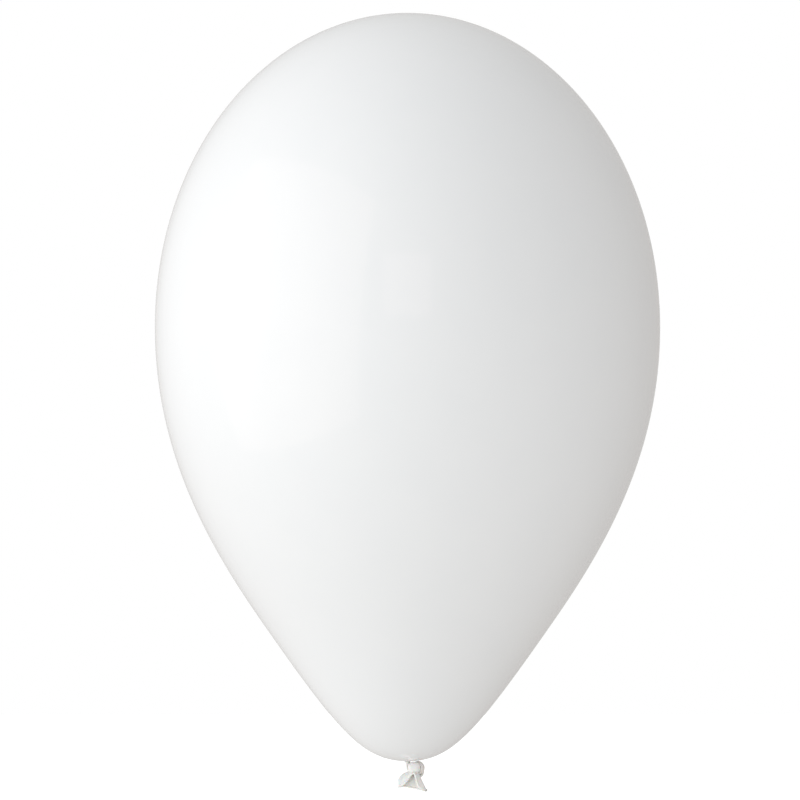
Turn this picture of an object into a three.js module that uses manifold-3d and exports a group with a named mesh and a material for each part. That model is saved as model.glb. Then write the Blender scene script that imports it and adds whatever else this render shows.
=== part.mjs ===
// A latex party balloon, inflated and tied. One dipped film makes the whole object; it is split here where
// the film changes shape: the inflated envelope, the gathered neck, the overhand knot, the open tail and the
// rolled rim round its mouth. Millimetres, +Z up. The origin is the tie point, where the neck leaves the
// envelope: the envelope stands above it, the knot and tail hang below it, and -Y is the front.

import * as THREE from "three";
import { mergeVertices } from "three/addons/utils/BufferGeometryUtils.js";
import Module from "manifold-3d";

const wasm = await Module();
wasm.setup();

// ---- Driving dimensions ---------------------------------------------------------------------------------

const GAP = 0.3; // clearance kept between neighbouring pieces

// Envelope outline. Heights are measured from its bottom pole.
const BODY_RADIUS = 130; // at the equator
const BODY_HEIGHT = 385; // bottom pole to crown
const EQUATOR = 223; // height of the widest level
const CROWN_FULLNESS = 93; // how long the side stays upright above the equator
const CROWN_FLATNESS = 70; // how long the top stays level away from the axis
const CONE_RADIUS = 71; // a point on the straight flank above the tip
const CONE_HEIGHT = 66;
const CONE_SLOPE = THREE.MathUtils.degToRad(35); // flank angle, from upright
const CONE_REACH_UP = 41; // straightness of the flank above and below that point
const CONE_REACH_DOWN = 65;
const TIP_FLATNESS = 22; // how long the bottom stays level away from the axis
const POLE = 0.35; // height of the bottom pole above the tie point

// Film thickness: stretched thin over the body, nearly unstretched where it gathers at the neck.
const BODY_FILM = 0.012;
const NECK_FILM = 0.25;
const FILM_FADE = 9; // distance over which the film thins, away from the neck

const THROAT_RADIUS = 6; // where the envelope ends and the gathered neck begins
const NECK_RADIUS = 1.5; // the gathered stem
const NECK_FILLET = 1; // from the flare into the stem
const NECK_BUNCH = 0.5; // how far the gathered film stands up inside, on the axis

// Knot: an overhand knot whose loop faces the front. The film comes out through the middle of the loop, swells
// into a hood that covers most of the front, and goes on down to the tail.
const STRAND = 2.35; // spacing of the wraps
const STRAND_RADIUS = 0.96;
const KNOT_CENTRE = new THREE.Vector3(5.1, -0.3, -4.3);
const KNOT_TURN = THREE.MathUtils.degToRad(5);
const HOOD_CENTRE = new THREE.Vector3(3.4, -3, -3.1);
const HOOD_HALF_SIZE = new THREE.Vector3(3.4, 1.8, 2.9);
const NECK_PIVOT = new THREE.Vector3(0.4, 0, -0.9); // middle of the strand's ball end, inside the neck
const TAIL_PIVOT = new THREE.Vector3(3.3, -3, -6.7); // middle of its other ball end, inside the tail's collar

// Half of the wraps, from the left of the loop to its middle, in strand widths about the knot's own centre. The
// other half is the same route turned half round the X axis.
const HALF_WRAP = [
  [-0.95, 0, 0],
  [-0.9, 0.1, -0.7],
  [-0.55, 0.3, -1.3],
  [0.15, 0.55, -1.5],
  [0.8, 0.75, -1.1],
  [1, 0.8, -0.35],
  [0.75, 0.5, 0.3],
  [0.3, 0, 0.5],
];
const NECK_LEAD = [[0.5, 0.7, -2.3], [0.8, 1.9, -3.9], [2.7, 2.7, -4.8]]; // from the neck to the wraps
const TAIL_LEAD = [[3.7, -1.7, -2.9], [3.4, -2.9, -3.7], [3.3, -3.3, -5]]; // from the wraps to the tail

// Tail: a flattened trumpet of unstretched film, in its own frame with the pivot at the origin and the mouth
// below it.
const TAIL_FILM = 0.3;
const TAIL_LENGTH = 7.7; // pivot to the two corners of the mouth
const TAIL_COLLAR_RADIUS = 1.4;
const TAIL_COLLAR_DROP = 0.8; // from the pivot down to the collar
const MOUTH_HALF_WIDTH = 7.35;
const MOUTH_HALF_DEPTH = 2.2;
const MOUTH_SHIFT = 0.5; // of the whole mouth towards its right corner
const FRONT_ARCH = 5; // how far the middle of the front lip is drawn up, in a narrow arch
const BACK_ARCH = 1.6; // how far the middle of the back lip is drawn up, in a shallow one
const TAIL_LEAN = THREE.MathUtils.degToRad(-35); // the mouth faces forward
const TAIL_ROLL = THREE.MathUtils.degToRad(10); // and its right corner hangs lower
const RIM_RADIUS = 0.55; // the rolled bead

const LATEX = { color: 0xeeeeec, roughness: 0.32, metalness: 0 };

// ---- Shared helpers -------------------------------------------------------------------------------------

const X_AXIS = new THREE.Vector3(1, 0, 0);
const Y_AXIS = new THREE.Vector3(0, 1, 0);

function latexMesh(name, geometry) {
  const mesh = new THREE.Mesh(geometry, new THREE.MeshStandardMaterial(LATEX));
  mesh.name = name;
  return mesh;
}

// LatheGeometry turns about Y, so the profile's height is laid along +Z.
function lathe(profile, segments) {
  return new THREE.LatheGeometry(profile, segments).rotateX(Math.PI / 2);
}

function toSolid(geometry) {
  const bare = geometry.clone();
  bare.deleteAttribute("normal");
  bare.deleteAttribute("uv");
  const merged = mergeVertices(bare, 1e-4);
  return new wasm.Manifold(
    new wasm.Mesh({
      numProp: 3,
      vertProperties: Float32Array.from(merged.attributes.position.array),
      triVerts: Uint32Array.from(merged.index.array),
    }),
  );
}

function fromSolid(solid) {
  const mesh = solid.getMesh();
  const geometry = new THREE.BufferGeometry();
  geometry.setAttribute("position", new THREE.BufferAttribute(mesh.vertProperties, mesh.numProp));
  geometry.setIndex(new THREE.BufferAttribute(mesh.triVerts, 1));
  geometry.computeVertexNormals();
  return geometry;
}

function ball(radius, centre) {
  return toSolid(new THREE.SphereGeometry(radius, 20, 12).translate(centre.x, centre.y, centre.z));
}

// A closed skin over a stack of rings, each a loop of the same number of points, shut by a point at each end.
function loft(firstPoint, rings, lastPoint) {
  const count = rings[0].length;
  const points = [firstPoint, ...rings.flat(), lastPoint];
  const at = (ring, k) => 1 + ring * count + (k % count);
  const last = points.length - 1;
  const index = [];
  for (let k = 0; k < count; k++) {
    index.push(0, at(0, k + 1), at(0, k));
    for (let ring = 0; ring + 1 < rings.length; ring++) {
      index.push(at(ring, k), at(ring + 1, k + 1), at(ring + 1, k));
      index.push(at(ring, k), at(ring, k + 1), at(ring + 1, k + 1));
    }
    index.push(last, at(rings.length - 1, k), at(rings.length - 1, k + 1));
  }
  const geometry = new THREE.BufferGeometry().setFromPoints(points);
  geometry.setIndex(index);
  geometry.computeVertexNormals();
  return geometry;
}

// ---- Envelope and neck: one outline, parted at the throat ------------------------------------------------

// The outline from crown to tip, as radius and height above the tie point.
function bodyOutline() {
  const point = (radius, height) => new THREE.Vector2(radius, POLE + height);
  const slope = new THREE.Vector2(Math.sin(CONE_SLOPE), Math.cos(CONE_SLOPE));
  const side = point(BODY_RADIUS, EQUATOR);
  const cone = point(CONE_RADIUS, CONE_HEIGHT);
  const aboveCone = cone.clone().addScaledVector(slope, CONE_REACH_UP);
  const belowCone = cone.clone().addScaledVector(slope, -CONE_REACH_DOWN);
  // The length of the lower handle keeps the curvature even across the equator.
  const inset = (BODY_RADIUS - aboveCone.x) / (BODY_RADIUS - CROWN_FLATNESS);
  const flankFullness = CROWN_FULLNESS * Math.sqrt(inset);
  return [
    new THREE.CubicBezierCurve(
      point(0, BODY_HEIGHT),
      point(CROWN_FLATNESS, BODY_HEIGHT),
      point(BODY_RADIUS, EQUATOR + CROWN_FULLNESS),
      side,
    ),
    new THREE.CubicBezierCurve(side, point(BODY_RADIUS, EQUATOR - flankFullness), aboveCone, cone),
    new THREE.CubicBezierCurve(cone, belowCone, point(TIP_FLATNESS, 0), point(0, 0)),
  ];
}

function filmThickness(radius, height) {
  const fromNeck = Math.hypot(radius, height - POLE);
  return BODY_FILM + (NECK_FILM - BODY_FILM) * Math.exp(-fromNeck / FILM_FADE);
}

// A point of the outline and the one across the film from it.
function filmPair(curve, t) {
  const outer = curve.getPoint(t);
  const along = curve.getTangent(t);
  const inward = new THREE.Vector2(along.y, -along.x);
  const inner = outer.clone().addScaledVector(inward, filmThickness(outer.x, outer.y));
  return { outer, inner: outer.x < 1e-6 ? new THREE.Vector2(0, inner.y) : inner };
}

// The place on the tip's curve with the given radius, found by halving.
function tipParameter(curve, radius) {
  let low = 0;
  let high = 1;
  for (let step = 0; step < 40; step++) {
    const middle = (low + high) / 2;
    if (curve.getPoint(middle).x > radius) low = middle;
    else high = middle;
  }
  return low;
}

function spread(count, start, end) {
  return Array.from({ length: count + 1 }, (_, k) => start + ((end - start) * k) / count);
}

function envelopeGeometry() {
  const [crown, flank, tip] = bodyOutline();
  const throat = tipParameter(tip, THROAT_RADIUS);
  const pairs = [
    ...spread(10, 0, 1).map((t) => filmPair(crown, t)),
    ...spread(6, 0, 1).slice(1).map((t) => filmPair(flank, t)),
    ...spread(7, 0, throat).slice(1).map((t) => filmPair(tip, t)),
  ];
  const inside = pairs.map((pair) => pair.inner);
  const outside = pairs.map((pair) => pair.outer).reverse();
  return lathe([...inside, ...outside], 60);
}

// The film comes in from the throat, turns down into a gathered stem and ends over the knot's ball end.
function neckGeometry() {
  const tip = bodyOutline()[2];
  const radii = [NECK_RADIUS + NECK_FILLET, 4.4, THROAT_RADIUS - GAP];
  const pairs = radii.map((radius) => filmPair(tip, tipParameter(tip, radius)));
  const stemTop = pairs[0].outer.y - NECK_FILLET / 5;
  const profile = [
    new THREE.Vector2(0, 0),
    new THREE.Vector2(NECK_RADIUS, 0),
    new THREE.Vector2(NECK_RADIUS, stemTop),
    ...pairs.map((pair) => pair.outer),
    ...pairs.map((pair) => pair.inner).reverse(),
    new THREE.Vector2(0, pairs[0].inner.y + NECK_BUNCH),
  ];
  const stem = toSolid(lathe(profile, 32));
  return fromSolid(stem.subtract(ball(STRAND_RADIUS + GAP, NECK_PIVOT)));
}

// ---- Knot -----------------------------------------------------------------------------------------------

const toVectors = (list) => list.map((point) => new THREE.Vector3(...point));

// The route's points from the neck to the tail.
function knotPoints() {
  const half = toVectors(HALF_WRAP);
  const otherHalf = half.slice(1).map((point) => point.clone().applyAxisAngle(X_AXIS, Math.PI));
  const wraps = [...otherHalf.reverse(), ...half].map((point) =>
    point.applyAxisAngle(Y_AXIS, KNOT_TURN).multiplyScalar(STRAND).add(KNOT_CENTRE),
  );
  return [NECK_PIVOT, ...toVectors(NECK_LEAD), ...wraps, ...toVectors(TAIL_LEAD), TAIL_PIVOT];
}

function knotGeometry() {
  const section = new THREE.Shape();
  section.absarc(0, 0, STRAND_RADIUS, 0, 2 * Math.PI);
  const strand = new THREE.ExtrudeGeometry(section, {
    steps: 96,
    curveSegments: 5,
    extrudePath: new THREE.CatmullRomCurve3(knotPoints(), false, "centripetal"),
  });
  const hood = ball(1, new THREE.Vector3()).scale(HOOD_HALF_SIZE.toArray()).translate(HOOD_CENTRE.toArray());
  return fromSolid(
    toSolid(strand).add(hood).add(ball(STRAND_RADIUS, NECK_PIVOT)).add(ball(STRAND_RADIUS, TAIL_PIVOT)),
  );
}

// ---- Tail and its rolled rim, in the tail's own frame ----------------------------------------------------

// The lip of the mouth at angle u, with its front half where sin u > 0.
function mouthPoint(u) {
  const forward = Math.sin(u);
  const arch = forward > 0 ? FRONT_ARCH * forward ** 8 : BACK_ARCH * forward ** 2;
  return new THREE.Vector3(
    MOUTH_SHIFT + MOUTH_HALF_WIDTH * Math.cos(u),
    -MOUTH_HALF_DEPTH * forward,
    arch - TAIL_LENGTH,
  );
}

// The outside of the trumpet, from the collar (v = 0) to the lip (v = 1).
function tailPoint(u, v) {
  const mouth = mouthPoint(u);
  const collar = new THREE.Vector3(
    TAIL_COLLAR_RADIUS * Math.cos(u),
    -TAIL_COLLAR_RADIUS * Math.sin(u),
    -TAIL_COLLAR_DROP,
  );
  const flare = v ** 1.3;
  return new THREE.Vector3(
    THREE.MathUtils.lerp(collar.x, mouth.x, flare),
    THREE.MathUtils.lerp(collar.y, mouth.y, flare),
    THREE.MathUtils.lerp(collar.z, mouth.z, v),
  );
}

// Directions on the film there: round the tail, and inward across the film.
function tailDirections(u, v) {
  const step = 1e-3;
  const around = tailPoint(u + step, v).sub(tailPoint(u - step, v)).normalize();
  const down = tailPoint(u, v).sub(tailPoint(u, v - step));
  return { around, inward: down.cross(around).normalize() };
}

function tailInside(u, v) {
  return tailPoint(u, v).addScaledVector(tailDirections(u, v).inward, TAIL_FILM);
}

function tailGeometry() {
  const around = 40;
  const levels = spread(6, 0, 1);
  const ring = (place, v) => Array.from({ length: around }, (_, k) => place((2 * Math.PI * k) / around, v));
  const outside = levels.map((v) => ring(tailPoint, v));
  const inside = levels.slice(2).reverse().map((v) => ring(tailInside, v));
  const top = new THREE.Vector3(0, 0, -TAIL_COLLAR_DROP);
  const innerTop = new THREE.Vector3(0, 0, tailPoint(0, levels[2]).z + TAIL_FILM);
  const skin = loft(top, [...outside, ...inside], innerTop);
  const socket = ball(STRAND_RADIUS + GAP, new THREE.Vector3());
  return fromSolid(toSolid(skin).subtract(socket));
}

// The bead follows the lip just clear of the film's edge. A ring that closes on itself has no ends to cap.
function rimGeometry() {
  const loop = spread(48, 0, 2 * Math.PI).slice(0, -1).map((u) => {
    const { around, inward } = tailDirections(u, 1);
    const beyond = around.clone().cross(inward);
    return tailPoint(u, 1)
      .addScaledVector(inward, TAIL_FILM / 2)
      .addScaledVector(beyond, RIM_RADIUS + GAP);
  });
  const path = new THREE.CatmullRomCurve3(loop, true);
  return new THREE.TubeGeometry(path, 72, RIM_RADIUS, 8, true);
}

// ---- Assembly -------------------------------------------------------------------------------------------

const balloon = new THREE.Group();
balloon.add(latexMesh("envelope", envelopeGeometry()));
balloon.add(latexMesh("neck", neckGeometry()));
balloon.add(latexMesh("knot", knotGeometry()));

const tail = new THREE.Group();
tail.position.copy(TAIL_PIVOT);
tail.rotation.set(TAIL_LEAN, TAIL_ROLL, 0);
tail.add(latexMesh("tail", tailGeometry()));
tail.add(latexMesh("rolled_rim", rimGeometry()));
balloon.add(tail);

export default balloon;
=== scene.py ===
"""A latex party balloon, inflated and tied, on a plain white studio set.

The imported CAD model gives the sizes, the bodies and the joints. Each of its five plain solids is replaced by
a finished piece: the inflated envelope with the puckers round its throat, the gathered neck, the overhand
knot, the flared tail and the rolled rim of its mouth. Sizes are in millimetres unless a name or comment says
otherwise, and are scaled to Blender's metres when a mesh is made. +Z is up and -Y is the front.
"""

import math

import bpy
import numpy as np
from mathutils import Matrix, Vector


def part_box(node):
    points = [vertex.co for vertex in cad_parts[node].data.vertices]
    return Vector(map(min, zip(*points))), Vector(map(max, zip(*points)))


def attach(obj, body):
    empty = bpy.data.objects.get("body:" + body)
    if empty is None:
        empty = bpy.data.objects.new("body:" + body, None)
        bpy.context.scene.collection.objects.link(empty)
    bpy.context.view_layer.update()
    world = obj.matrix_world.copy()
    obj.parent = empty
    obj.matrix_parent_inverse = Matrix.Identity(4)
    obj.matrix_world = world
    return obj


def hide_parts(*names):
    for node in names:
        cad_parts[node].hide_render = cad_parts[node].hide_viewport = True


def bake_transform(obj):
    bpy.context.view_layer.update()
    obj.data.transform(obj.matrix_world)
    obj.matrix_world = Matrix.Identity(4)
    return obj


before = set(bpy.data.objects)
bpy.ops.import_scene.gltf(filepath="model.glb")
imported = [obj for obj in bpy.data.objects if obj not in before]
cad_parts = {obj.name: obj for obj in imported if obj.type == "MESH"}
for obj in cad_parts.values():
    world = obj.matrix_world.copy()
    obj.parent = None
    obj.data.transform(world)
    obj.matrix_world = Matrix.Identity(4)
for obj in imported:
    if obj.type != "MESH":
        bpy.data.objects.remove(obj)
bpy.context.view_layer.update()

MM = 0.001


# ---- Driving dimensions -----------------------------------------------------------------------------------

ENVELOPE_HIGH = np.array(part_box("envelope")[1]) / MM

# Envelope outline, as in the CAD model. Heights are measured from its bottom pole.
POLE = 0.35
BODY_RADIUS = ENVELOPE_HIGH[0]
BODY_HEIGHT = ENVELOPE_HIGH[2] - POLE
EQUATOR = 223
CROWN_FULLNESS = 93
CROWN_FLATNESS = 70
CONE_RADIUS = 71
CONE_HEIGHT = 66
CONE_SLOPE = math.radians(35)
CONE_REACH_UP = 41
CONE_REACH_DOWN = 65
TIP_FLATNESS = 22
FILM = 0.25  # wall of the envelope's shell

# Gathered neck
NECK_RADIUS = 1.25
STEM_BEND = 0.6  # from the envelope's bottom into the stem
STEM_BOTTOM = -0.35  # where the envelope's film tucks in under the neck
NECK_TOP = 0.0
NECK_BOTTOM = -1.5  # where the neck is buried in the knot
PLEATS = 15
PLEAT_DEPTH = 0.15  # at the stem
PLEAT_FADE = 5.5  # distance from the stem over which the pleats die out on the envelope

# Knot, on the CAD model's route but pressed together: an overhand knot whose loop faces the front. The film
# comes out through the middle of the loop, swells into a hood over the front, and goes on to the tail.
STRAND = 2.35  # spacing of the wraps
STRAND_RADIUS = 1.15  # so that neighbouring wraps press on each other
KNOT_CENTRE = np.array([5.25, -0.3, -4.2])
KNOT_TURN = math.radians(5)
HOOD_CENTRE = np.array([3.4, -3.0, -2.95])
HOOD_HALF_SIZE = np.array([3.25, 1.9, 3.05])
NECK_PIVOT = np.array([0.4, 0.0, -0.9])
TAIL_PIVOT = np.array([3.3, -3.0, -6.7])
HALF_WRAP = [
    (-0.95, 0, 0),
    (-0.9, 0.1, -0.7),
    (-0.55, 0.3, -1.3),
    (0.15, 0.55, -1.5),
    (0.8, 0.75, -1.1),
    (1, 0.8, -0.35),
    (0.75, 0.5, 0.3),
    (0.3, 0, 0.5),
]
NECK_LEAD = [(0.5, 0.7, -2.3), (0.8, 1.9, -3.9), (2.7, 2.7, -4.8)]
TAIL_LEAD = [(3.7, -1.7, -2.9), (3.4, -2.9, -3.7), (3.3, -3.3, -5)]
KNOT_VOXEL = 0.085

# Tail: in its own frame, with the pivot at the origin and the mouth below it.
TAIL_FILM = 0.3
TAIL_TOP = np.array([0.0, 0.0, 1.3])  # where the film comes out of the knot
TOP_HALF_WIDTH = 2.4
TOP_HALF_DEPTH = 1.1
TAIL_LENGTH = 7.7
MOUTH_HALF_WIDTH = 7.35
MOUTH_HALF_DEPTH = 2.4
FRONT_ARCH = 7.4  # the front lip is drawn up in a narrow arch, to the left of the middle
ARCH_SHARPNESS = 12
ARCH_TURN = math.radians(6)
BACK_ARCH = 1.6
MOUTH_END_RADIUS = 0.6  # the mouth is pressed flat towards its corners, and each corner is a tight round fold
MOUTH_SHIFT = 0.5
LEFT_BULGE = 1.4  # the film swells out to the left, and runs straight down to the right corner
TAIL_LEAN = math.radians(-35)
TAIL_ROLL = math.radians(10)
RIM_RADIUS = 0.48

# ---- Mesh helpers -----------------------------------------------------------------------------------------

def make_piece(name, points, faces, material):
    """A smooth-shaded object from points in millimetres."""
    mesh = bpy.data.meshes.new(name)
    mesh.from_pydata((np.asarray(points) * MM).tolist(), [], faces)
    mesh.update()
    mesh.shade_smooth()
    mesh.materials.append(material)
    piece = bpy.data.objects.new(name, mesh)
    bpy.context.scene.collection.objects.link(piece)
    return piece


def set_shade_and_tint_depth(piece, depth):
    """How far each vertex takes the darker tone, from 0 to 1: painted shade in creases, hollows and shaded
    places, and a darker tint towards the neck and the knot.
    """
    layer = piece.data.attributes.new("shade_and_tint_depth", "FLOAT", "POINT")
    layer.data.foreach_set("value", np.clip(depth, 0, 1).astype(np.float32).ravel())


def grid_faces(rows, columns, close_rows=False):
    """Quads over a grid of points whose columns join up; the rows join up too if close_rows is true."""
    faces = []
    for row in range(rows if close_rows else rows - 1):
        above, below = row * columns, (row + 1) % rows * columns
        for k in range(columns):
            after = (k + 1) % columns
            faces.append((above + k, below + k, below + after, above + after))
    return faces


def bezier(corners, t):
    a, b, c, d = (np.array(corner, float) for corner in corners)
    t = t[:, None]
    return (1 - t) ** 3 * a + 3 * (1 - t) ** 2 * t * b + 3 * (1 - t) * t**2 * c + t**3 * d


def smoothstep(x, start, end):
    t = np.clip((x - start) / (end - start), 0, 1)
    return t * t * (3 - 2 * t)


def unit(vectors):
    return vectors / np.linalg.norm(vectors, axis=-1, keepdims=True)


# ---- Envelope ---------------------------------------------------------------------------------------------

def body_outline():
    """Radius and height of the outline from the crown to the bottom pole, densely sampled."""
    slope = np.array([math.sin(CONE_SLOPE), math.cos(CONE_SLOPE)])
    side = np.array([BODY_RADIUS, POLE + EQUATOR])
    cone = np.array([CONE_RADIUS, POLE + CONE_HEIGHT])
    above = cone + CONE_REACH_UP * slope
    below = cone - CONE_REACH_DOWN * slope
    inset = (BODY_RADIUS - above[0]) / (BODY_RADIUS - CROWN_FLATNESS)
    flank_fullness = CROWN_FULLNESS * math.sqrt(inset)
    top = POLE + BODY_HEIGHT
    t = np.linspace(0, 1, 600)
    crown = bezier([(0, top), (CROWN_FLATNESS, top), side + (0, CROWN_FULLNESS), side], t)
    flank = bezier([side, side - (0, flank_fullness), above, cone], t)
    tip = bezier([cone, below, (TIP_FLATNESS, POLE), (0, POLE)], t)
    return np.vstack([crown, flank[1:], tip[1:]])


def ring_spacing(radius, height):
    """Rings lie closer together near the throat, where the pleats are."""
    return 0.16 + 3.6 * (1 - np.exp(-np.hypot(radius, height) / 45))


def throat_outline():
    """The outline with its tip turned down into the stem of the neck."""
    outline = body_outline()
    keep = outline[:, 0] > NECK_RADIUS + STEM_BEND
    keep[: len(outline) // 2] = True
    body = outline[keep]
    angles = np.linspace(0, math.pi / 2, 14)[1:]
    centre = body[-1] + (0, -STEM_BEND)
    bend = centre + STEM_BEND * np.column_stack([-np.sin(angles), np.cos(angles)])
    share = np.linspace(0, 1, 6)[1:]
    stem_height = bend[-1, 1] + share * (STEM_BOTTOM - bend[-1, 1])
    stem = np.column_stack([NECK_RADIUS * (1 - 0.2 * share**2), stem_height])
    return np.vstack([body, bend, stem])


def resample(line):
    """Points along the line, spaced as ring_spacing says."""
    step = np.linalg.norm(np.diff(line, axis=0), axis=1)
    middle = (line[1:] + line[:-1]) / 2
    rings = np.concatenate([[0], np.cumsum(step / ring_spacing(middle[:, 0], middle[:, 1]))])
    wanted = np.linspace(0, rings[-1], int(rings[-1]) + 2)
    return np.column_stack([np.interp(wanted, rings, line[:, axis]) for axis in (0, 1)])


def pleat_wave(angle, turn=0.0):
    """Uneven gathers round the neck: rounded ridges between narrow valleys, from -1 to about 0.5."""
    uneven = angle + 0.10 * np.sin(2 * angle + 0.6) + 0.07 * np.sin(3 * angle + 2.1) + turn
    main = np.abs(np.sin(PLEATS / 2 * uneven))
    minor = np.abs(np.sin(PLEATS * 0.8 * uneven + 1.3))
    return 0.5 - (1 - main) ** 1.6 * 1.3 - 0.25 * (1 - minor) ** 2


def make_envelope(material):
    columns = 288
    outline = resample(throat_outline())
    tangent = unit(np.gradient(outline, axis=0))
    outward = np.column_stack([-tangent[:, 1], tangent[:, 0]])
    angle = np.linspace(0, 2 * math.pi, columns, endpoint=False)
    from_stem = np.hypot(outline[:, 0] - NECK_RADIUS, np.maximum(outline[:, 1] - POLE, 0))
    depth = PLEAT_DEPTH * np.exp(-from_stem / PLEAT_FADE)
    depth += 0.5 * PLEAT_DEPTH * np.exp(-from_stem / (3 * PLEAT_FADE))
    depth[: len(depth) // 2] = 0
    wave = pleat_wave(angle)

    def wall(inset):
        radius = outline[:, 0, None] + outward[:, 0, None] * (depth[:, None] * wave - inset)
        height = outline[:, 1, None] + outward[:, 1, None] * (depth[:, None] * wave - inset)
        radius = np.maximum(radius, 1e-3)
        return np.stack([radius * np.cos(angle), radius * np.sin(angle), height + 0 * angle], axis=-1)

    outside = wall(0)[1:]
    inside = wall(FILM)[1:][::-1]
    rows = len(outside)
    points = np.concatenate([outside.reshape(-1, 3), inside.reshape(-1, 3)])
    faces = grid_faces(2 * rows, columns)
    top_out, top_in = len(points), len(points) + 1
    crown = outline[0, 1]
    points = np.vstack([points, [0, 0, crown], [0, 0, crown - FILM]])
    last = (2 * rows - 1) * columns
    for k in range(columns):
        after = (k + 1) % columns
        faces.append((top_out, k, after))
        faces.append((top_in, last + after, last + k))
    piece = make_piece("envelope_film", points, faces, material)
    # Painted shade in the pleat valleys, and a darker tint towards the neck.
    gather = np.exp(-from_stem[1:] / PLEAT_FADE)[:, None] * (0.6 - 0.4 * wave)
    set_shade_and_tint_depth(piece, np.concatenate([gather.ravel(), gather[::-1].ravel(), [0, 0]]))
    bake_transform(piece)
    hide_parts("envelope")
    return piece


# ---- Neck -------------------------------------------------------------------------------------------------

def make_neck(material):
    """The stem from the envelope's bottom into the knot, tucked in under the skin of both."""
    columns = 144
    angle = np.linspace(0, 2 * math.pi, columns, endpoint=False)
    heights = np.linspace(NECK_TOP, NECK_BOTTOM, 36)
    points = []
    for height in heights:
        down = (height - NECK_TOP) / (NECK_BOTTOM - NECK_TOP)
        tuck = smoothstep(down, 0.55, 1)
        radius = NECK_RADIUS * (1 - 0.08 * down) * (1 - 0.45 * tuck)
        radius = radius + PLEAT_DEPTH * (1 - tuck) * pleat_wave(angle, 0.3 * down)
        lean = smoothstep(height, NECK_TOP, NECK_PIVOT[2]) * NECK_PIVOT[0]
        ring = [lean + radius * np.cos(angle), radius * np.sin(angle), height + 0 * angle]
        points.append(np.column_stack(ring))
    ends = [[0, 0, NECK_TOP], [NECK_PIVOT[0], 0, NECK_BOTTOM]]
    faces = closed_faces(len(heights), columns)
    piece = make_piece("neck_gather", np.vstack([*points, ends]), faces, material)
    # Painted shade in the pleat valleys.
    gather = np.tile(0.15 - 0.35 * pleat_wave(angle), len(heights))
    set_shade_and_tint_depth(piece, np.concatenate([gather, [0, 0]]))
    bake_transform(piece)
    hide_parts("neck")
    return piece


# ---- Knot -------------------------------------------------------------------------------------------------

def turned(points, axis, angle):
    """Points turned about an axis through the origin."""
    axis = unit(np.array(axis, float))
    points = np.asarray(points, float)
    along = (points @ axis)[..., None] * axis
    return along + math.cos(angle) * (points - along) + math.sin(angle) * np.cross(axis, points)


def knot_points():
    """The route's points from the neck to the tail."""
    half = np.array(HALF_WRAP, float)
    other_half = turned(half[1:], (1, 0, 0), math.pi)[::-1]
    wraps = turned(np.vstack([other_half, half]), (0, 1, 0), KNOT_TURN) * STRAND + KNOT_CENTRE
    return np.vstack([NECK_PIVOT, NECK_LEAD, wraps, TAIL_LEAD, TAIL_PIVOT])


def smooth_route(points, count):
    """A centripetal Catmull-Rom curve through the points, as count points evenly spaced along it."""
    padded = np.vstack([2 * points[0] - points[1], points, 2 * points[-1] - points[-2]])
    dense = []
    for p0, p1, p2, p3 in zip(padded, padded[1:], padded[2:], padded[3:]):
        t0 = 0.0
        t1 = t0 + np.linalg.norm(p1 - p0) ** 0.5
        t2 = t1 + np.linalg.norm(p2 - p1) ** 0.5
        t3 = t2 + np.linalg.norm(p3 - p2) ** 0.5
        t = np.linspace(t1, t2, 40, endpoint=False)[:, None]
        a1 = (t1 - t) / (t1 - t0) * p0 + (t - t0) / (t1 - t0) * p1
        a2 = (t2 - t) / (t2 - t1) * p1 + (t - t1) / (t2 - t1) * p2
        a3 = (t3 - t) / (t3 - t2) * p2 + (t - t2) / (t3 - t2) * p3
        b1 = (t2 - t) / (t2 - t0) * a1 + (t - t0) / (t2 - t0) * a2
        b2 = (t3 - t) / (t3 - t1) * a2 + (t - t1) / (t3 - t1) * a3
        dense.append((t2 - t) / (t2 - t1) * b1 + (t - t1) / (t2 - t1) * b2)
    dense = np.vstack([*dense, points[-1:]])
    length = np.concatenate([[0], np.cumsum(np.linalg.norm(np.diff(dense, axis=0), axis=1))])
    wanted = np.linspace(0, length[-1], count)
    return np.column_stack([np.interp(wanted, length, dense[:, axis]) for axis in range(3)])


def carried_frames(route):
    """The route's tangents and two directions across it that don't spin as they go along."""
    tangent = unit(np.gradient(route, axis=0))
    first = unit(np.cross(tangent[0], (0.3, 0.9, 0.1)))
    firsts = [first]
    for direction in tangent[1:]:
        first = unit(first - (first @ direction) * direction)
        firsts.append(first)
    firsts = np.array(firsts)
    return tangent, firsts, np.cross(tangent, firsts)


def folds_round(angle, count, sharpness):
    """Narrow valleys between rounded ridges, from 0 on a ridge to 1 in a valley."""
    return (1 - np.abs(np.sin(count / 2 * angle))) ** sharpness


def closed_faces(rows, columns):
    """Faces over a grid of points, shut at each end by one of the two points that follow the grid."""
    faces = grid_faces(rows, columns)
    start, end = rows * columns, rows * columns + 1
    last = (rows - 1) * columns
    for k in range(columns):
        after = (k + 1) % columns
        faces.append((start, k, after))
        faces.append((end, last + after, last + k))
    return faces


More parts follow.
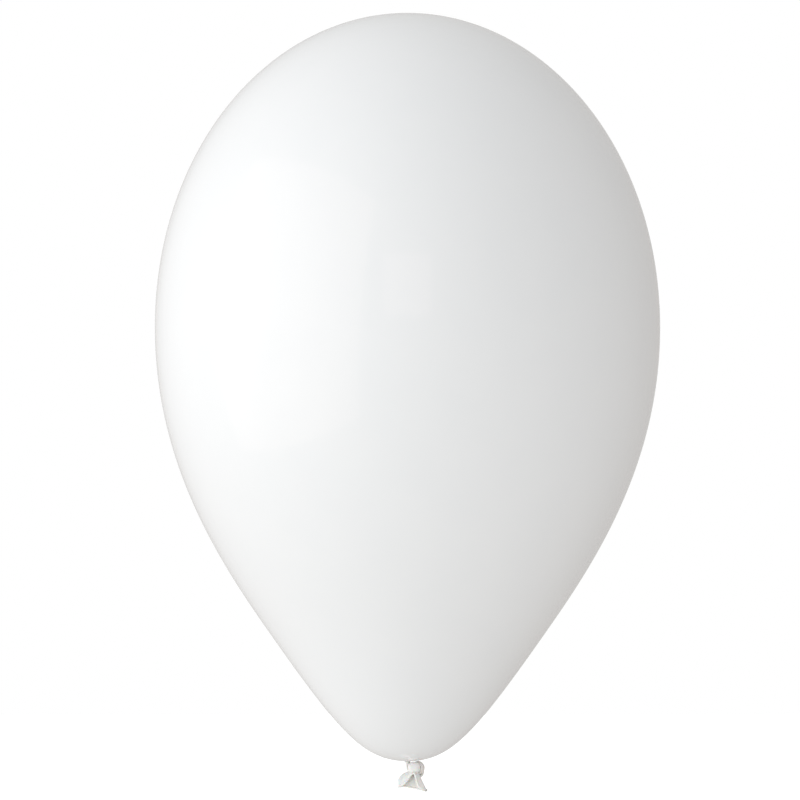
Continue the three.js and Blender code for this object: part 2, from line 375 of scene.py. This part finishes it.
def knot_strand():
    """The strand as a closed tube: flattened against the knot and creased along its length."""
    rows, columns = 480, 72
    route = smooth_route(knot_points()[:-1], rows)
    tangent, first, second = carried_frames(route)
    share = np.linspace(0, 1, rows)[:, None]
    angle = np.linspace(0, 2 * math.pi, columns, endpoint=False)[None, :]
    uneven = angle + 0.22 * np.sin(2 * angle + 9 * share) + 5 * share
    creases = 0.17 * folds_round(uneven, 7, 2.2) + 0.06 * folds_round(uneven + 0.6 * share, 17, 2)
    radius = STRAND_RADIUS * (1 - creases + 0.03 * np.sin(26 * share + 3 * angle))
    across = np.cos(angle)[..., None] * first[:, None] + np.sin(angle)[..., None] * second[:, None]
    outward = route - KNOT_CENTRE
    outward = outward - np.sum(outward * tangent, axis=1, keepdims=True) * tangent
    flatten = smoothstep(np.linalg.norm(outward, axis=1), 0.5, 2.0)
    flatten *= smoothstep(share[:, 0], 0.08, 0.2) * (1 - smoothstep(share[:, 0], 0.78, 0.86))
    outward = unit(outward + 1e-6)
    on_outward = np.sum(across * outward[:, None], axis=2, keepdims=True)
    across = across * (1 + 0.18 * flatten[:, None, None])
    across = across - 0.32 * flatten[:, None, None] * on_outward * outward[:, None]
    rings = route[:, None] + radius[..., None] * across
    cap = 0.8 * STRAND_RADIUS
    points = np.vstack([rings.reshape(-1, 3), route[:1] - cap * tangent[:1], route[-1:] + cap * tangent[-1:]])
    return points, closed_faces(rows, columns)


def hood():
    """The swelling over the front of the knot: a full, boxy lump with soft folds from top to bottom."""
    rows, columns = 120, 240
    down = np.linspace(0, math.pi, rows + 2)[1:-1, None]
    around = np.linspace(0, 2 * math.pi, columns, endpoint=False)[None, :]
    direction = np.stack(
        [np.sin(down) * np.cos(around), np.sin(down) * np.sin(around), np.cos(down) + 0 * around], axis=-1
    )
    boxy = np.sign(direction) * np.abs(direction) ** 0.86
    wander = around + 0.35 * np.cos(down) + 0.2 * np.sin(2 * around + 1)
    strength = 0.6 + 0.4 * np.sin(2 * around + 2.2)
    folds = 0.08 * strength * folds_round(wander, 7, 2.6) + 0.025 * folds_round(wander + 0.3, 16, 2)
    skin = HOOD_CENTRE + HOOD_HALF_SIZE * boxy * (1 - folds * np.sin(down) ** 0.5)[..., None]
    top = HOOD_CENTRE + (0, 0, HOOD_HALF_SIZE[2])
    bottom = HOOD_CENTRE - (0, 0, HOOD_HALF_SIZE[2])
    return np.vstack([skin.reshape(-1, 3), top, bottom]), closed_faces(rows, columns)


def fused(name, points, faces, voxel, smoothing):
    """One skin round overlapping solids, in millimetres, with creases where they meet."""
    mesh = bpy.data.meshes.new(name)
    mesh.from_pydata(np.asarray(points).tolist(), [], faces)
    mesh.update()
    piece = bpy.data.objects.new(name, mesh)
    bpy.context.scene.collection.objects.link(piece)
    remesh = piece.modifiers.new("skin", "REMESH")
    remesh.mode = "VOXEL"
    remesh.voxel_size = voxel
    relax = piece.modifiers.new("relax", "SMOOTH")
    relax.factor = 0.5
    relax.iterations = smoothing
    depsgraph = bpy.context.evaluated_depsgraph_get()
    skin = bpy.data.meshes.new_from_object(piece.evaluated_get(depsgraph))
    bpy.data.objects.remove(piece)
    return skin


def hollowness(mesh, rounds, reach):
    """How far each vertex lies below the skin's own smoothed surface, as a share of the reach."""
    count = len(mesh.vertices)
    points, normals = np.zeros(count * 3), np.zeros(count * 3)
    mesh.vertices.foreach_get("co", points)
    mesh.vertices.foreach_get("normal", normals)
    points, normals = points.reshape(-1, 3), normals.reshape(-1, 3)
    ends = np.zeros(len(mesh.edges) * 2, dtype=np.int64)
    mesh.edges.foreach_get("vertices", ends)
    one, other = ends.reshape(-1, 2).T
    neighbours = np.bincount(ends, minlength=count)[:, None]
    smooth = points.copy()
    for _ in range(rounds):
        total = np.column_stack([
            np.bincount(one, smooth[other, axis], count) + np.bincount(other, smooth[one, axis], count)
            for axis in range(3)
        ])
        smooth = (smooth + total / neighbours) / 2
    return np.sum((smooth - points) * normals, axis=1) / reach


def make_knot(material):
    strand_points, strand_faces = knot_strand()
    hood_points, hood_faces = hood()
    after_strand = len(strand_points)
    faces = strand_faces + [tuple(k + after_strand for k in face) for face in hood_faces]
    skin = fused("knot_skin", np.vstack([strand_points, hood_points]), faces, KNOT_VOXEL, 3)
    points = np.zeros(len(skin.vertices) * 3)
    skin.vertices.foreach_get("co", points)
    from_hood = np.linalg.norm((points.reshape(-1, 3) - HOOD_CENTRE) / HOOD_HALF_SIZE, axis=1)
    shaded = 0.6 * smoothstep(from_hood, 1.03, 1.2)  # painted shade on the wraps away from the hood: the photograph's wrap is much darker than its hood
    # painted shade in the knot's hollows, added to the painted shade on the wraps
    depth = hollowness(skin, 60, 0.12) + shaded
    faces = [tuple(polygon.vertices) for polygon in skin.polygons]
    bpy.data.meshes.remove(skin)
    piece = make_piece("knot_wraps", points.reshape(-1, 3), faces, material)
    set_shade_and_tint_depth(piece, depth)
    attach(piece, "knot")
    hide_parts("knot")
    return piece


# ---- Tail and rolled rim ----------------------------------------------------------------------------------

def to_balloon(points):
    """From the tail's own frame to the balloon's."""
    return turned(turned(points, (0, 1, 0), TAIL_ROLL), (1, 0, 0), TAIL_LEAN) + TAIL_PIVOT


def mouth_line(u):
    """The lip of the mouth, with its front half where sin u > 0."""
    forward = np.sin(u)
    front = FRONT_ARCH * np.maximum(np.sin(u - ARCH_TURN), 0) ** ARCH_SHARPNESS
    back = BACK_ARCH * np.maximum(-forward, 0) ** 2
    height = front + back - TAIL_LENGTH + 0.18 * np.sin(3 * u + 0.8)
    from_corner = MOUTH_HALF_WIDTH * (1 - np.abs(np.cos(u)))
    fold = MOUTH_END_RADIUS * np.sqrt(1 - (1 - np.clip(from_corner / MOUTH_END_RADIUS, 0, 1)) ** 2)
    depth = np.sign(forward) * (fold + (MOUTH_HALF_DEPTH - MOUTH_END_RADIUS) * forward**4)
    return np.stack([MOUTH_SHIFT + MOUTH_HALF_WIDTH * np.cos(u), -depth, height], axis=-1)


def tail_surface(u, v):
    """The outside of the tail from the knot at v = 0 to the lip at v = 1."""
    u, v = np.broadcast_arrays(u, v)
    mouth = mouth_line(u)
    top = np.stack([TOP_HALF_WIDTH * np.cos(u), -TOP_HALF_DEPTH * np.sin(u), 0 * u], axis=-1) + TAIL_TOP
    v = np.clip(v, 1e-4, None)
    to_right = np.cos(u)
    share = np.stack([v ** (0.72 + 0.42 * to_right), v**1.1, v], axis=-1)
    placed = top + (mouth - top) * share
    placed[..., 0] -= LEFT_BULGE * np.sin(math.pi * v) * ((1 - to_right) / 2) ** 2
    fold = 0.5 * np.sin(9 * u + 0.7) + 0.5 * np.sin(14 * u + 2.0 * v) + 0.35 * np.sin(5 * u + 1.1)
    depth = 0.15 * np.sin(math.pi * np.clip(v, 0, 1) ** 0.7) + 0.02
    outward = placed * (1, 1, 0)
    outward = outward / np.maximum(np.linalg.norm(outward, axis=-1, keepdims=True), 1e-6)
    return placed + outward * (fold * depth)[..., None]


def film_inward(u, v, step=1e-3):
    around = tail_surface(u + step, v) - tail_surface(u - step, v)
    down = tail_surface(u, v + step) - tail_surface(u, v - step)
    return unit(np.cross(down, around))


def corner_painted_shade(u):
    """Painted shade: how dark the lip is at the mouth's right corner, where the photograph shows it in shade.
    """
    return 0.9 * np.exp((np.cos(u) - 1) / 0.12)


def back_painted_shade(u, v):
    """How dark the painted slanting shade is down the inside of the back, from the knot to the left."""
    across = MOUTH_HALF_WIDTH * np.cos(u) * v ** 0.8 + 5.2 * v
    return 0.6 * np.exp(-((across / 1.9) ** 2)) * (1 - v) ** 1.2


def make_tail(material):
    columns, rows = 240, 64
    buried = 5  # rows of the outside that have no inside, because the knot fills them
    u = np.linspace(0, 2 * math.pi, columns, endpoint=False)[None, :]
    v = np.linspace(0, 1, rows)[:, None]
    outside = tail_surface(u, v)
    inside = outside + film_inward(u, np.clip(v, 2e-3, None)) * TAIL_FILM
    inside = inside[buried:][::-1]
    ends = np.array([TAIL_TOP, inside[-1].mean(axis=0)])
    points = np.vstack([outside.reshape(-1, 3), inside.reshape(-1, 3), ends])
    faces = closed_faces(rows + len(inside), columns)
    piece = make_piece("tail_flare", to_balloon(points), faces, material)
    # Painted shade at the right corner of the lip and down the inside of the back; the outside is also darker
    # towards the knot.
    outer_depth = 0.25 * (1 - v) ** 2 + corner_painted_shade(u) * v**2
    inner_depth = back_painted_shade(u, v[buried:][::-1])
    set_shade_and_tint_depth(piece, np.concatenate([outer_depth.ravel(), inner_depth.ravel(), [1, 1]]))
    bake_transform(piece)
    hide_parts("tail")
    return piece


def make_rim(material):
    around, section = 320, 28
    u = np.linspace(0, 2 * math.pi, around, endpoint=False)
    lip = tail_surface(u, np.ones_like(u))
    inward = film_inward(u, np.full_like(u, 0.999))
    along = unit(np.roll(lip, -1, axis=0) - np.roll(lip, 1, axis=0))
    beyond = unit(np.cross(along, inward))
    centre = lip + inward * TAIL_FILM / 2 + beyond * RIM_RADIUS * 0.6
    angle = np.linspace(0, 2 * math.pi, section, endpoint=False)
    groove = 0.22 * np.exp(-(((angle - math.pi * 0.62) / 0.16) ** 2))
    swell = 1 + 0.05 * np.sin(7 * u + 1) + 0.03 * np.sin(17 * u)
    radius = RIM_RADIUS * swell[:, None] * (1 - groove[None, :])
    ring = centre[:, None] + radius[..., None] * (
        np.cos(angle)[None, :, None] * beyond[:, None] + np.sin(angle)[None, :, None] * inward[:, None]
    )
    faces = grid_faces(around, section, close_rows=True)
    piece = make_piece("rolled_rim_bead", to_balloon(ring.reshape(-1, 3)), faces, material)
    # Painted shade in the rim's groove and at the mouth's right corner.
    set_shade_and_tint_depth(piece, 0.5 * groove / groove.max() + corner_painted_shade(u)[:, None])
    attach(piece, "tail")
    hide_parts("rolled_rim")
    return piece


# ---- Materials --------------------------------------------------------------------------------------------

def latex(name, light, deep, shade_and_tint, roughness, subsurface, gloss):
    """Satin latex: two close tones that drift into each other, and a third, darker, for painted shade and for
    the tint near the neck and knot.
    """
    material = bpy.data.materials.new(name)
    material.use_nodes = True
    nodes, links = material.node_tree.nodes, material.node_tree.links
    shader = nodes["Principled BSDF"]
    place = nodes.new("ShaderNodeTexCoord")
    drift = nodes.new("ShaderNodeTexNoise")
    drift.inputs["Scale"].default_value = 35
    drift.inputs["Detail"].default_value = 4
    links.new(place.outputs["Object"], drift.inputs["Vector"])
    tone = nodes.new("ShaderNodeMix")
    tone.data_type = "RGBA"
    tone.inputs["A"].default_value = (*light, 1)
    tone.inputs["B"].default_value = (*deep, 1)
    links.new(drift.outputs["Fac"], tone.inputs["Factor"])
    # the darker tone is painted shade in creases and shaded places, mixed in where the vertex attribute asks
    # for it
    fold = nodes.new("ShaderNodeAttribute")
    fold.attribute_name = "shade_and_tint_depth"
    in_shade_and_tint = nodes.new("ShaderNodeMix")
    in_shade_and_tint.data_type = "RGBA"
    in_shade_and_tint.inputs["B"].default_value = (*shade_and_tint, 1)
    links.new(fold.outputs["Fac"], in_shade_and_tint.inputs["Factor"])
    links.new(tone.outputs["Result"], in_shade_and_tint.inputs["A"])
    links.new(in_shade_and_tint.outputs["Result"], shader.inputs["Base Color"])
    sheen = nodes.new("ShaderNodeMapRange")
    sheen.inputs["To Min"].default_value = roughness * 0.85
    sheen.inputs["To Max"].default_value = roughness * 1.15
    links.new(drift.outputs["Fac"], sheen.inputs["Value"])
    links.new(sheen.outputs["Result"], shader.inputs["Roughness"])
    grain = nodes.new("ShaderNodeTexNoise")
    grain.inputs["Scale"].default_value = 1400
    links.new(place.outputs["Object"], grain.inputs["Vector"])
    bump = nodes.new("ShaderNodeBump")
    bump.inputs["Strength"].default_value = 0.15
    bump.inputs["Distance"].default_value = 0.00002
    links.new(grain.outputs["Fac"], bump.inputs["Height"])
    links.new(bump.outputs["Normal"], shader.inputs["Normal"])
    shader.inputs["IOR"].default_value = 1.5
    shader.inputs["Coat Weight"].default_value = gloss
    shader.inputs["Coat Roughness"].default_value = 0.07
    shader.inputs["Coat IOR"].default_value = 1.7
    if subsurface:
        shader.inputs["Subsurface Weight"].default_value = subsurface
        shader.inputs["Subsurface Radius"].default_value = (1.0, 0.75, 0.6)
        shader.inputs["Subsurface Scale"].default_value = 0.6 * MM
    return material


# ---- Studio -----------------------------------------------------------------------------------------------

VIEW_CENTRE = Vector((-3.85, 0, 186.2)) * MM  # the middle of the picture
VIEW_WIDTH = 412 * MM
CAMERA_DISTANCE = 3.0
FLOOR_HEIGHT = -0.3
WHITE = (1, 1, 1, 1)

# The room's light as broad glows: direction, colour, and how tightly the glow gathers round that direction.
# The strengths were fitted to the photograph's tones and then adjusted.
EVEN_LIGHT = (0.26, 0.222, 0.187)
GLOWS = [
    ((-1, 0, 0), (0.51, 0.52, 0.52), 1),
    ((-0.3, 0, 0.954), (0.18, 0.215, 0.25), 1),
    ((-0.8, 0.6, 0), (0.08, 0.08, 0.09), 6),
    ((-0.707, -0.707, 0), (0.25, 0.32, 0.36), 3),
    ((0.83, -0.21, -0.52), (0.39, 0.41, 0.43), 3.5),
]


def add_camera():
    data = bpy.data.cameras.new("camera")
    data.sensor_width = 36
    data.lens = data.sensor_width * CAMERA_DISTANCE / VIEW_WIDTH
    data.clip_end = 100
    camera = bpy.data.objects.new("camera", data)
    camera.location = VIEW_CENTRE + Vector((0, -CAMERA_DISTANCE, 0))
    camera.rotation_euler = (math.pi / 2, 0, 0)
    bpy.context.scene.collection.objects.link(camera)
    bpy.context.scene.camera = camera


def add_softbox(name, azimuth, elevation, distance, width, height, radiance):
    """A rectangular light that faces the balloon. Azimuth 0 is on the camera's side and 90 to the right."""
    data = bpy.data.lights.new(name, "AREA")
    data.shape = "RECTANGLE"
    data.size = width
    data.size_y = height
    data.energy = math.pi * width * height
    data.color = radiance
    light = bpy.data.objects.new(name, data)
    a, e = math.radians(azimuth), math.radians(elevation)
    back = Vector((math.sin(a) * math.cos(e), -math.cos(a) * math.cos(e), math.sin(e)))
    light.location = VIEW_CENTRE + distance * back
    light.rotation_euler = back.to_track_quat("Z", "Y").to_euler()
    light.visible_camera = False
    bpy.context.scene.collection.objects.link(light)


def add_floor():
    """A pale floor well below the balloon. It lights nothing: the room's light already holds its share."""
    mesh = bpy.data.meshes.new("floor")
    corners = 96
    turn = np.linspace(0, 2 * math.pi, corners, endpoint=False)
    rim = np.column_stack([6 * np.cos(turn), 6 * np.sin(turn), np.full(corners, FLOOR_HEIGHT)])
    mesh.from_pydata(rim.tolist(), [], [tuple(range(corners))])
    material = bpy.data.materials.new("pale_floor")
    material.use_nodes = True
    shader = material.node_tree.nodes["Principled BSDF"]
    shader.inputs["Base Color"].default_value = (0.9, 0.9, 0.9, 1)
    shader.inputs["Roughness"].default_value = 0.9
    shader.inputs["Emission Color"].default_value = WHITE
    shader.inputs["Emission Strength"].default_value = 0.45
    mesh.materials.append(material)
    floor = bpy.data.objects.new("floor", mesh)
    floor.visible_diffuse = False
    floor.visible_glossy = False
    floor.visible_transmission = False
    floor.visible_shadow = False
    bpy.context.scene.collection.objects.link(floor)


def light_room():
    """White where the camera sees it, and the even light with its glows everywhere else."""
    world = bpy.data.worlds.new("studio")
    bpy.context.scene.world = world
    world.use_nodes = True
    nodes, links = world.node_tree.nodes, world.node_tree.links
    direction = nodes.new("ShaderNodeTexCoord").outputs["Generated"]
    total = None
    for towards, colour, tightness in GLOWS:
        facing = nodes.new("ShaderNodeVectorMath")
        facing.operation = "DOT_PRODUCT"
        facing.inputs[1].default_value = towards
        links.new(direction, facing.inputs[0])
        share = nodes.new("ShaderNodeMapRange")
        share.inputs["From Min"].default_value = -1
        links.new(facing.outputs["Value"], share.inputs["Value"])
        gathered = nodes.new("ShaderNodeMath")
        gathered.operation = "POWER"
        gathered.inputs[1].default_value = tightness
        links.new(share.outputs["Result"], gathered.inputs[0])
        glow = nodes.new("ShaderNodeVectorMath")
        glow.operation = "MULTIPLY_ADD"
        glow.inputs[0].default_value = colour
        links.new(gathered.outputs["Value"], glow.inputs[1])
        if total is None:
            glow.inputs[2].default_value = EVEN_LIGHT
        else:
            links.new(total, glow.inputs[2])
        total = glow.outputs["Vector"]
    seen = nodes.new("ShaderNodeMix")
    seen.data_type = "RGBA"
    seen.inputs["B"].default_value = WHITE
    links.new(nodes.new("ShaderNodeLightPath").outputs["Is Camera Ray"], seen.inputs["Factor"])
    links.new(total, seen.inputs["A"])
    links.new(seen.outputs["Result"], nodes["Background"].inputs["Color"])


def build():
    film = latex(
        "inflated_film_latex",
        light=(0.93, 0.93, 0.93), deep=(0.90, 0.905, 0.91), shade_and_tint=(0.80, 0.76, 0.73),
        roughness=0.35, subsurface=0, gloss=1,
    )
    gathered = latex(
        "gathered_latex",
        light=(0.98, 0.95, 0.93), deep=(0.97, 0.93, 0.90), shade_and_tint=(0.42, 0.38, 0.36),
        roughness=0.28, subsurface=0.5, gloss=0.3,
    )
    tail = latex(
        "tail_latex",
        light=(0.98, 0.97, 0.94), deep=(0.97, 0.95, 0.91), shade_and_tint=(0.45, 0.39, 0.38),
        roughness=0.30, subsurface=0.5, gloss=0.3,
    )
    rim = latex(
        "rim_latex",
        light=(0.97, 0.96, 0.92), deep=(0.95, 0.94, 0.88), shade_and_tint=(0.45, 0.42, 0.40),
        roughness=0.30, subsurface=0.5, gloss=0.3,
    )
    make_envelope(film)
    make_neck(gathered)
    make_knot(gathered)
    make_tail(tail)
    make_rim(rim)
    add_camera()
    add_softbox("key", -57, 9, 1.4, 2.1, 2.05, (0.30, 0.24, 0.21))
    add_softbox("front_card", 0, 13, 2.0, 0.72, 0.62, (0.30, 0.24, 0.24))
    light_room()
    add_floor()
    bpy.context.scene.view_settings.view_transform = "Standard"


build()
